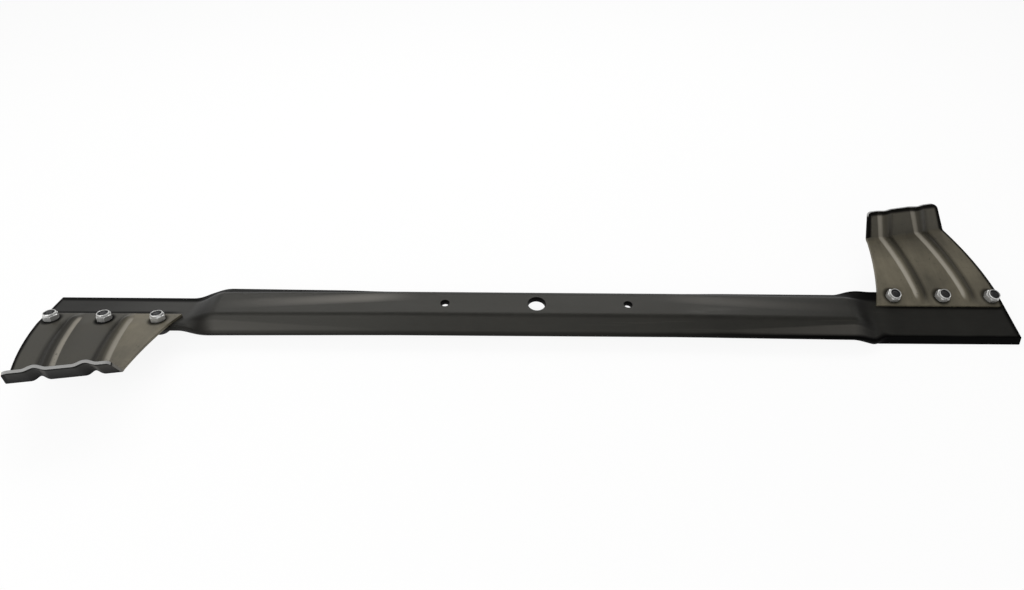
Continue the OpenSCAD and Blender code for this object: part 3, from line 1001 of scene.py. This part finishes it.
def bolt_mesh(sizes, grip):
    """A hex bolt: a head with turned-off corners below the bar, and a shank whose end shows in the nut."""
    flat = sizes.hex_flats / 2
    r = sizes.bolt_d / 2
    low = -sizes.head_height
    end = grip + sizes.nut_height - sizes.bolt_end_depth
    profile = [
        (0.0, low + 0.10 * MM),
        (2.2 * MM, low + 0.10 * MM),
        (2.5 * MM, low),
        (flat - 0.35 * MM, low),
        (flat - 0.05 * MM, low + 0.05 * MM),
        (None, low + 0.10 * MM, 1),
        (None, low + 0.25 * MM, 1),
        (None, -0.35 * MM, 0),
        (None, -0.28 * MM, 0),
        (flat - 0.05 * MM, -0.25 * MM),
        (flat - 0.10 * MM, 0.0),
        (r + 0.3 * MM, 0.0),
        (r, 0.3 * MM),
    ]
    pitch, groove = 1.0 * MM, 0.35 * MM
    z = grip + 0.5 * MM
    profile.append((r, z))
    while z + pitch < end - 0.9 * MM:
        profile += [(r - groove, z + 0.45 * pitch), (r - groove, z + 0.6 * pitch), (r, z + pitch)]
        z += pitch
    profile += [
        (r, end - 0.8 * MM),
        (r - 0.65 * MM, end - 0.12 * MM),
        (r - 0.85 * MM, end),
        (0.6 * MM, end),
        (0.35 * MM, end - 0.1 * MM),
        (0.0, end - 0.12 * MM),
    ]
    return turned(profile, "wing_bolt", hexagon_shaper(sizes.hex_flats))


def ring_mesh(sizes):
    """A locking ring with a rounded top."""
    outer = sizes.hex_flats / 2 - COLLAR_INSET - sizes.collar_wall - FIT_CLEARANCE
    inner = sizes.bolt_d / 2 + FIT_CLEARANCE
    tall = sizes.ring_height
    profile = [
        (inner, 0.15 * MM),
        (inner + 0.12 * MM, 0.0),
        (outer - 0.12 * MM, 0.0),
        (outer, 0.15 * MM),
        (outer, tall - 0.25 * MM),
        (outer - 0.10 * MM, tall - 0.06 * MM),
        (outer - 0.30 * MM, tall),
        (inner + 0.30 * MM, tall),
        (inner + 0.08 * MM, tall - 0.08 * MM),
        (inner, tall - 0.30 * MM),
        (inner, 0.15 * MM),
    ]
    return turned(profile, "lock_ring")


def fastener_tree(sources):
    """Places one fastener on every bolt of both wings."""
    tree, size = new_tree("fastener_rows", sources)
    one = size["geometry"]
    first_x = size["blade_length"] * 0.5 - size["foot_inset"] - size["first_bolt"]
    start = one.node("ShaderNodeCombineXYZ", {"X": first_x, "Y": size["plate_back"] - size["bolt_inset"]})
    spacing = (size["foot_width"] - size["first_bolt"] - size["last_bolt"]) / (size["bolt_count"] - 1)
    pitch = one.node("ShaderNodeCombineXYZ", {"X": 0 - spacing})
    line = one.node(
        "GeometryNodeMeshLine",
        {"Count": size["bolt_count"], "Start Location": start, "Offset": pitch},
        mode="OFFSET",
    )
    row = one.node("GeometryNodeInstanceOnPoints", {"Points": line, "Instance": one})
    both = one.node("GeometryNodeJoinGeometry", {0: end_frame(row, size, False)})
    tree.links.new(end_frame(row, size, True).socket, both.socket.node.inputs[0])
    end_tree(both, size["finish"])
    return tree, size


def place_fasteners(scene, name, mesh, seat, finish, node):
    """Makes one piece of all the fasteners of a kind, seated at a height over the end plate."""
    smooth_by_angle(mesh, 32)
    mesh.transform(Matrix.Translation((0, 0, seat)))
    piece = new_object(name, mesh)
    sources = (
        (scene.mower_fasteners, ROW_SIZES),
        (scene.mower_wing, FOOT_SIZES),
        (scene.mower_bar, END_SIZES),
    )
    tree, wires = fastener_tree(sources)
    add_tree(piece, "rows", tree, wires, sources, finish)
    plain_mesh(piece)
    stand_for(piece, node)


class MOWERBLADE_OT_bolts(bpy.types.Operator):
    """Builds the hex bolts, heads under the bar"""

    bl_idname = "mower_blade.bolts"
    bl_label = "Bolts"

    def execute(self, context):
        scene = context.scene
        stock, sheet = scene.mower_bar.stock_thickness, scene.mower_wing.thickness
        mesh = bolt_mesh(scene.mower_fasteners, stock + sheet)
        place_fasteners(scene, "bolts", mesh, -stock, bolt_finish(), "wing_bolts")
        return {"FINISHED"}


class MOWERBLADE_OT_nuts(bpy.types.Operator):
    """Builds the lock nuts on top of the wings"""

    bl_idname = "mower_blade.nuts"
    bl_label = "Lock nuts"

    def execute(self, context):
        scene = context.scene
        mesh = nut_mesh(scene.mower_fasteners)
        seat = scene.mower_wing.thickness
        place_fasteners(scene, "nuts", mesh, seat, zinc_finish(), "lock_nuts")
        return {"FINISHED"}


class MOWERBLADE_OT_rings(bpy.types.Operator):
    """Builds the locking rings in the tops of the nuts"""

    bl_idname = "mower_blade.rings"
    bl_label = "Locking rings"

    def execute(self, context):
        scene = context.scene
        sizes = scene.mower_fasteners
        mesh = ring_mesh(sizes)
        seat = scene.mower_wing.thickness + sizes.nut_height - sizes.ring_depth - sizes.ring_height
        place_fasteners(scene, "rings", mesh, seat, nylon_finish(), "lock_rings")
        return {"FINISHED"}


# Finishes


def new_finish(name):
    """A material with an empty tree, and a wire to start from."""
    material = bpy.data.materials.new(name)
    material.use_nodes = True
    material.node_tree.nodes.clear()
    return material, Wire(material.node_tree)


def finished(material, shader):
    """Ends a material's tree with a shader."""
    shader.node("ShaderNodeOutputMaterial", {"Surface": shader})
    return material


def tint(wire, low, high, share):
    """A colour between two colours."""
    low, high = [c if isinstance(c, Wire) else (*c, 1.0) for c in (low, high)]
    return wire.node("ShaderNodeMix", {0: share, 6: low, 7: high}, out=2, data_type="RGBA")


def object_noise(wire, scale, stretch=(1, 1, 1), detail=3.0, roughness=0.55):
    """Noise on object coordinates, with more waves along some axes than others."""
    at = wire.node("ShaderNodeTexCoord", out=3)
    placed = at.node("ShaderNodeMapping", {"Vector": at, "Scale": stretch})
    return placed.node(
        "ShaderNodeTexNoise", {"Vector": placed, "Scale": scale, "Detail": detail, "Roughness": roughness}
    )


def object_place(wire, axis):
    """The place along an axis of the object."""
    at = wire.node("ShaderNodeTexCoord", out=3)
    return at.node("ShaderNodeSeparateXYZ", {0: at}, out=axis)


def far_from(along, across, x, y):
    """The distance from an upright line through a point."""
    return ((along - x) ** 2 + (across - y) ** 2) ** 0.5


def bumped(wire, height, strength, distance):
    """A normal from a height, whose unit is the distance."""
    return wire.node("ShaderNodeBump", {"Height": height, "Strength": strength, "Distance": distance})


def named(wire, name):
    """A number stored on the mesh."""
    return wire.node("ShaderNodeAttribute", out=2, attribute_name=name)


def with_edges_and_shade(shader, edge_colour, share):
    """A finish into which a matte near-black colour is mixed by a share: dark edges and painted shade."""
    matte = shader.node(
        "ShaderNodeBsdfPrincipled",
        {"Base Color": (*edge_colour, 1.0), "Roughness": 0.6, "Specular IOR Level": 0.02},
    )
    return shader.node("ShaderNodeMixShader", {0: share, 1: shader, 2: matte})


OXIDE_GLOSS = 0.33


def bar_finish():
    """Dark oxide on rolled steel: cloudy, with faint drawn lines along the bar, black edges that are partly
    painted shade, a painted sheen and more painted shade.
    """
    colours, bar = settings().mower_finish, settings().mower_bar
    form = BarForm(bar)
    tip, plate, drop, flare = form.tip_x, form.plate_start, form.drop_start, bar.flare_start
    material, w = new_finish("bar_oxide")
    cloud = object_noise(w, 16, detail=5)
    drawn = object_noise(w, 260, stretch=(0.05, 1, 1), detail=4, roughness=0.65)
    grain = object_noise(w, 1500, detail=2)
    scale = object_noise(w, 130, stretch=(0.6, 1, 1), detail=6, roughness=0.75)
    # On the bar this mask is wear only: random paler patches.
    wear_and_painted_highlight = object_noise(w, 42, stretch=(0.25, 1, 1), detail=6, roughness=0.7).step(0.56, 0.78)
    scratch = object_noise(w, 420, stretch=(0.02, 1, 1), detail=3, roughness=0.5).step(0.66, 0.74)
    along, across = object_place(w, 0), object_place(w, 1)
    ends = along.math("ABSOLUTE", along)
    tone = (cloud * 0.9 + drawn * 0.5 + scale * 0.9 - 0.65).share()
    base = tint(w, colours.bar_dark, colours.bar_light, tone)
    base = tint(w, base, [c * 1.7 for c in colours.bar_light], most(wear_and_painted_highlight * 0.4, scratch * 0.5))
    # Painted sheen: the brims are painted paler, more on the right half, and a painted highlight streak
    # slants over the web along each flare, stronger on the left half
    right = along.step(-20 * MM, 20 * MM)
    highlight_streak_y = 5.1 * MM - (ends - flare - 32 * MM) * 0.06
    fade = ends.step(flare - 20 * MM, flare + 28 * MM) * (1 - ends.step(flare + 18 * MM, plate - 10 * MM))
    painted_highlight_streak = (1 - ((across - highlight_streak_y) / (5.5 * MM)) ** 2).share() * fade * (0.95 - 0.6 * right)
    brim = named(w, "brim") * (0.22 + 0.18 * right)
    base = tint(w, base, colours.bar_painted_sheen, most(brim, painted_highlight_streak))
    # Painted shade, mixed in as near black: along the edges, where it is partly a dark edge finish, on the
    # hole walls, in the drops, on the +Y flank and the plates, and a painted shadow beside the wings' feet
    edge = named(w, "edge") + (cloud - 0.5) * 1.6 * MM
    at_plate = ends.step(plate, plate + 15 * MM)
    beside_plate = ends.step(drop, drop + 12 * MM) * (1 - ends.step(plate - 1 * MM, plate + 7 * MM))
    wide = 3.4 * MM + 2.4 * MM * beside_plate
    # Painted shade along the edges, wider beside the plates, at half strength left of the middle; partly a
    # dark edge finish.
    at_edge = (1 - edge.step(0.4 * MM, wide)) * (0.5 + 0.5 * most(along.step(20 * MM, 240 * MM), at_plate))
    # Painted shade on the whole +Y side beyond the web.
    painted_far_flank_shade = across.step(bar.web_half + 1.5 * MM, bar.web_half + 6 * MM) * 0.92
    # Painted shade on the drops between the channel and the plates.
    painted_drop_shade = ends.step(drop, drop + 14 * MM) * (1 - ends.step(drop + 16 * MM, plate + 3 * MM)) * 0.55
    # Painted shade on the end plates: a little on the right plate, and growing towards the left tip.
    painted_plate_shade = 0.2 * at_plate * right + 0.4 * (0 - along).step(plate + 5 * MM, tip - 25 * MM)
    # Painted shadow on the plate along each wing's foot edge.
    behind = across * (2 * right - 1)
    beside = behind.step(0.5 * MM + 4 * MM * right, 3.5 * MM + 4 * MM * right)
    painted_foot_shadow = beside * at_plate * (1 - ends.step(tip - 8 * MM, tip - 4 * MM)) * 0.75
    # Painted shade on the walls of the holes.
    centre_wall = far_from(along, across, 0, 0) - bar.centre_hole / 2
    side_wall = far_from(ends, across, bar.side_hole_spacing / 2, 0) - bar.side_hole / 2
    painted_hole_shade = (1 - least(centre_wall, side_wall).step(0.1 * MM, 0.6 * MM)) * 0.9
    edges_and_painted_shade = most(at_edge, painted_hole_shade, painted_far_flank_shade, painted_drop_shade, painted_plate_shade, painted_foot_shadow)
    oxide = w.node(
        "ShaderNodeBsdfPrincipled",
        {
            "Base Color": base,
            "Roughness": 0.24 + 0.14 * cloud + 0.10 * drawn + 0.14 * scale - 0.06 * wear_and_painted_highlight,
            "Normal": bumped(w, grain * 0.5 + drawn * 0.8 + scale * 1.2 + cloud * 1.5, 0.35, 0.06 * MM),
            "Specular IOR Level": OXIDE_GLOSS,
            "Specular Tint": (1.0, 0.98, 0.90, 1.0),
        },
    )
    return finished(material, with_edges_and_shade(oxide, colours.bar_edge_and_shade, edges_and_painted_shade))


def wing_finish(name, outer_shade):
    """Olive grey oxide on pressed sheet: painted highlights and painted shade on the flanks of the ribs,
    dark edges that are partly painted shade, and painted shade on the underside, the lip and the outer
    strips.
    """
    scene = settings()
    colours, bar = scene.mower_finish, scene.mower_bar
    wing, fasteners = scene.mower_wing, scene.mower_fasteners
    tip = bar.blade_length / 2
    material, w = new_finish(name)
    cloud = object_noise(w, 34, detail=5)
    drawn = object_noise(w, 190, stretch=(1, 0.12, 0.4), detail=5, roughness=0.7)
    grain = object_noise(w, 1300, detail=2)
    speck = object_noise(w, 240, detail=3, roughness=0.8).step(0.60, 0.72)
    flank, turned_up, top = named(w, "flank"), named(w, "turned"), named(w, "top")
    tone = (cloud * 1.3 + drawn * 0.6 - 0.2).share()
    base = tint(w, colours.wing_dark, colours.wing_light, tone)
    # Painted shade: the strips past the first rib are painted darker by the wing's outer shade, much more on
    # the left wing, and the turned-up lip is painted darker.
    base = tint(w, base, colours.wing_dark, named(w, "outer") * outer_shade)
    base = tint(w, base, colours.wing_dark, turned_up * 0.62)
    # Painted highlight: the rib flanks that face the middle of the blade are painted paler, less on the lip.
    wear_and_painted_highlight = flank.step(0.4, 1.0) * (0.75 + 0.4 * drawn) * (1 - 0.35 * turned_up)
    base = tint(w, base, colours.wing_rib_highlight, wear_and_painted_highlight.share())
    base = tint(w, base, colours.wing_dark, speck * 0.5)
    bare = named(w, "rim") * top.step(0.9, 1.0)
    base = tint(w, base, colours.wing_cut, bare)
    # Painted shade, mixed in as near black: along the edges, where it is partly a dark edge finish, beside
    # the ribs, a painted shadow round the nuts, and on faces that look down, least at the lip's outer end
    edge = named(w, "edge") + (cloud - 0.5) * 1.2 * MM
    # Painted shade along the edges, wider on the lip; partly a dark edge finish.
    at_edge = (1 - edge.step(0.9 * MM + turned_up * 1.5 * MM, 2.9 * MM + turned_up * 2.3 * MM)) * 0.95
    # Painted shade on the rib flanks that face away from the middle, fading out over the next strip, less on
    # the lip.
    rib_shade_share = named(w, "lee") * (0.58 - 0.3 * turned_up)
    along, across = [wire.math("ABSOLUTE", wire) for wire in (object_place(w, 0), object_place(w, 1))]
    foot_end = tip - wing.foot_inset
    first, last = foot_end - fasteners.first_bolt, foot_end - wing.foot_width + fasteners.last_bolt
    row = (bar.plate_back - fasteners.bolt_inset) * math.cos(bar.end_tilt)
    spots = [mix(first, last, k / (fasteners.bolt_count - 1)) for k in range(fasteners.bolt_count)]
    from_nut = least(*[far_from(along, across, x, row) for x in spots])
    # Painted shadow round each nut, patchy, and none on the lip.
    painted_nut_shadow = (1 - from_nut.step(5.8 * MM, 9.0 * MM)) * (0.4 + 0.9 * cloud) * (1 - turned_up)
    outer_end = along.step(tip - 32 * MM, tip - 8 * MM)
    # Painted shade on faces that look down, lighter towards the lip's top and at its outer end.
    below = named(w, "under") * (0.97 - 0.25 * top) * (1 - 0.6 * outer_end)
    edges_and_painted_shade = most(at_edge, rib_shade_share, painted_nut_shadow.share(), below) * (1 - bare)
    oxide = w.node(
        "ShaderNodeBsdfPrincipled",
        {
            "Base Color": base,
            "Roughness": 0.36 + 0.14 * cloud + 0.10 * drawn - 0.06 * flank.step(0.2, 1.0),
            "Normal": bumped(w, grain * 0.5 + drawn * 0.9 + cloud, 0.35, 0.06 * MM),
            "IOR": 1.6,
            "Specular IOR Level": OXIDE_GLOSS,
            "Specular Tint": (1.0, 0.97, 0.88, 1.0),
        },
    )
    return finished(material, with_edges_and_shade(oxide, colours.wing_edge_and_shade, edges_and_painted_shade))


def zinc_finish():
    """Bright zinc with dull patches."""
    colours = settings().mower_finish
    material, w = new_finish("zinc")
    cloud = object_noise(w, 260, detail=4)
    spangle = object_noise(w, 900, detail=3)
    base = tint(w, colours.zinc, colours.zinc_dull, (cloud * 1.2 - 0.2).share())
    plated = w.node(
        "ShaderNodeBsdfPrincipled",
        {
            "Base Color": base,
            "Metallic": 0.75,
            "Roughness": 0.22 + 0.20 * cloud,
            "Normal": bumped(w, spangle, 0.25, 0.03 * MM),
        },
    )
    return finished(material, plated)


def bolt_finish():
    """Blackened steel of the bolts."""
    colours = settings().mower_finish
    material, w = new_finish("bolt_black")
    cloud = object_noise(w, 320, detail=4)
    base = tint(w, colours.bolt, [c * 2.2 for c in colours.bolt], cloud.step(0.5, 0.75))
    blackened = w.node(
        "ShaderNodeBsdfPrincipled",
        {
            "Base Color": base,
            "Metallic": 0.35,
            "Roughness": 0.38 + 0.2 * cloud,
            "Normal": bumped(w, cloud, 0.2, 0.03 * MM),
            "Specular IOR Level": OXIDE_GLOSS,
        },
    )
    return finished(material, blackened)


def nylon_finish():
    """Dark nylon of the locking rings."""
    colours = settings().mower_finish
    material, w = new_finish("nylon")
    cloud = object_noise(w, 700, detail=3)
    base = tint(w, colours.nylon, [c * 2 for c in colours.nylon], cloud)
    moulded = w.node(
        "ShaderNodeBsdfPrincipled",
        {"Base Color": base, "Roughness": 0.45 + 0.2 * cloud, "Normal": bumped(w, cloud, 0.2, 0.03 * MM)},
    )
    return finished(material, moulded)


# Stage


RAYS_THAT_SEE = ("Is Camera Ray", "Is Glossy Ray", "Is Transmission Ray")


def seen_directly(wire):
    """1 for what the camera, gloss and clear pieces see, and 0 for light that falls on the object."""
    camera, gloss, clear = [wire.node("ShaderNodeLightPath", out=name) for name in RAYS_THAT_SEE]
    return (camera + gloss + clear).share()


WHITE_SHARE = 0.9


def floor_finish():
    """A pale floor that looks white and keeps a soft shadow."""
    colours = settings().mower_finish
    material, w = new_finish("pale_floor")
    paper = w.node("ShaderNodeBsdfDiffuse", {"Color": (*colours.floor, 1)})
    white = w.node("ShaderNodeEmission", {"Color": (1, 1, 1, 1), "Strength": 1.0})
    return finished(
        material, w.node("ShaderNodeMixShader", {0: seen_directly(w) * WHITE_SHARE, 1: paper, 2: white})
    )


def soft_lamp(name, power, size, place, target):
    """A soft area lamp aimed at a point."""
    lamp = bpy.data.lights.new(name, "AREA")
    lamp.energy = power
    lamp.shape = "RECTANGLE"
    lamp.size, lamp.size_y = size
    obj = new_object(name, lamp)
    obj.location = place
    obj.rotation_euler = (Vector(target) - Vector(place)).to_track_quat("-Z", "Y").to_euler()


LAMPS = {
    "overhead": {"size": (1.30, 0.35), "place": (-0.05, 0.48, 0.58), "target": (0.0, 0.0, 0.0)},
    "window": {"size": (0.70, 0.70), "place": (-0.62, -0.57, 0.62), "target": (-0.2, 0.0, 0.0)},
    "front": {"size": (0.60, 0.50), "place": (0.10, -0.75, 0.62), "target": (0.0, 0.0, 0.0)},
}


class MOWERBLADE_OT_stage(bpy.types.Operator):
    """Makes the floor, the soft lamps, the room light and the camera"""

    bl_idname = "mower_blade.stage"
    bl_label = "Stage"

    def execute(self, context):
        scene = context.scene
        stage = scene.mower_stage
        self.floor(stage.floor_size / 2)
        for name, lamp in LAMPS.items():
            soft_lamp(name, getattr(stage, name + "_power"), **lamp)
        self.room(scene, stage)
        self.camera(scene, stage)
        scene.view_settings.view_transform = "Standard"
        return {"FINISHED"}

    def floor(self, half):
        """A square floor at the foot of the CAD box."""
        corners = [(-half, -half), (half, -half), (half, half), (-half, half)]
        mesh = bpy.data.meshes.new("floor")
        mesh.from_pydata([(x, y, CAD_BOX[0].z) for x, y in corners], [], [(0, 1, 2, 3)])
        floor = new_object("floor", mesh)
        floor.data.materials.append(floor_finish())

    def room(self, scene, stage):
        """Room light that is palest near the horizon and brighter at the left than at the right."""
        world = bpy.data.worlds.new("room")
        world.use_nodes = True
        world.node_tree.nodes.clear()
        w = Wire(world.node_tree)
        towards = w.node("ShaderNodeTexCoord")
        across = towards.node("ShaderNodeSeparateXYZ", {0: towards}, out=0)
        up = towards.node("ShaderNodeSeparateXYZ", {0: towards}, out=2)
        low = 1 - up.math("ABSOLUTE", up)
        left = 0.5 - 0.5 * across
        level = stage.room_light + stage.horizon_light * low**3 + stage.left_light * left**2
        light = w.node("ShaderNodeBackground", {"Color": (1, 1, 1, 1), "Strength": level})
        w.node("ShaderNodeOutputWorld", {"Surface": light})
        scene.world = world

    def camera(self, scene, stage):
        """A camera at the photograph's place and angle."""
        data = bpy.data.cameras.new("camera")
        data.lens = stage.lens
        data.sensor_width = 36
        data.clip_start, data.clip_end = 0.01, 50
        camera = new_object("camera", data)
        azimuth, elevation = stage.camera_azimuth, stage.camera_elevation
        level = math.cos(elevation)
        forward = Vector((math.sin(azimuth) * level, math.cos(azimuth) * level, -math.sin(elevation)))
        turn = forward.to_track_quat("-Z", "Y").to_matrix() @ Matrix.Rotation(stage.camera_roll, 3, "Z")
        place = Vector((stage.camera_x, stage.camera_y, stage.camera_z))
        camera.matrix_world = Matrix.Translation(place) @ turn.to_4x4()
        scene.camera = camera


# Panel and registration


class MOWERBLADE_PT_panel(bpy.types.Panel):
    """Lists the pieces of the blade"""

    bl_label = "Mower Blade"
    bl_idname = "MOWERBLADE_PT_panel"
    bl_space_type = "VIEW_3D"
    bl_region_type = "UI"
    bl_category = "Mower Blade"

    def draw(self, context):
        for operator in PIECES:
            self.layout.operator(operator.bl_idname)


PIECES = (
    MOWERBLADE_OT_blade_bar,
    MOWERBLADE_OT_wings,
    MOWERBLADE_OT_bolts,
    MOWERBLADE_OT_nuts,
    MOWERBLADE_OT_rings,
    MOWERBLADE_OT_stage,
)
GROUPS = {
    "mower_bar": BladeBarSizes,
    "mower_wing": WingSizes,
    "mower_fasteners": FastenerSizes,
    "mower_finish": FinishColours,
    "mower_stage": StageSettings,
}


def register():
    """Registers the classes and puts the settings on the scene."""
    for group in GROUPS.values():
        bpy.utils.register_class(group)
    for name, group in GROUPS.items():
        setattr(bpy.types.Scene, name, bpy.props.PointerProperty(type=group))
    for operator in PIECES:
        bpy.utils.register_class(operator)
    bpy.utils.register_class(MOWERBLADE_PT_panel)


def unregister():
    """Takes the classes and settings away again."""
    bpy.utils.unregister_class(MOWERBLADE_PT_panel)
    for operator in reversed(PIECES):
        bpy.utils.unregister_class(operator)
    for name, group in reversed(GROUPS.items()):
        delattr(bpy.types.Scene, name)
        bpy.utils.unregister_class(group)


def main():
    """Builds the blade and its stage."""
    register()
    bpy.ops.mower_blade.blade_bar()
    bpy.ops.mower_blade.wings()
    bpy.ops.mower_blade.bolts()
    bpy.ops.mower_blade.nuts()
    bpy.ops.mower_blade.rings()
    bpy.ops.mower_blade.stage()


if __name__ == "__main__":
    main()
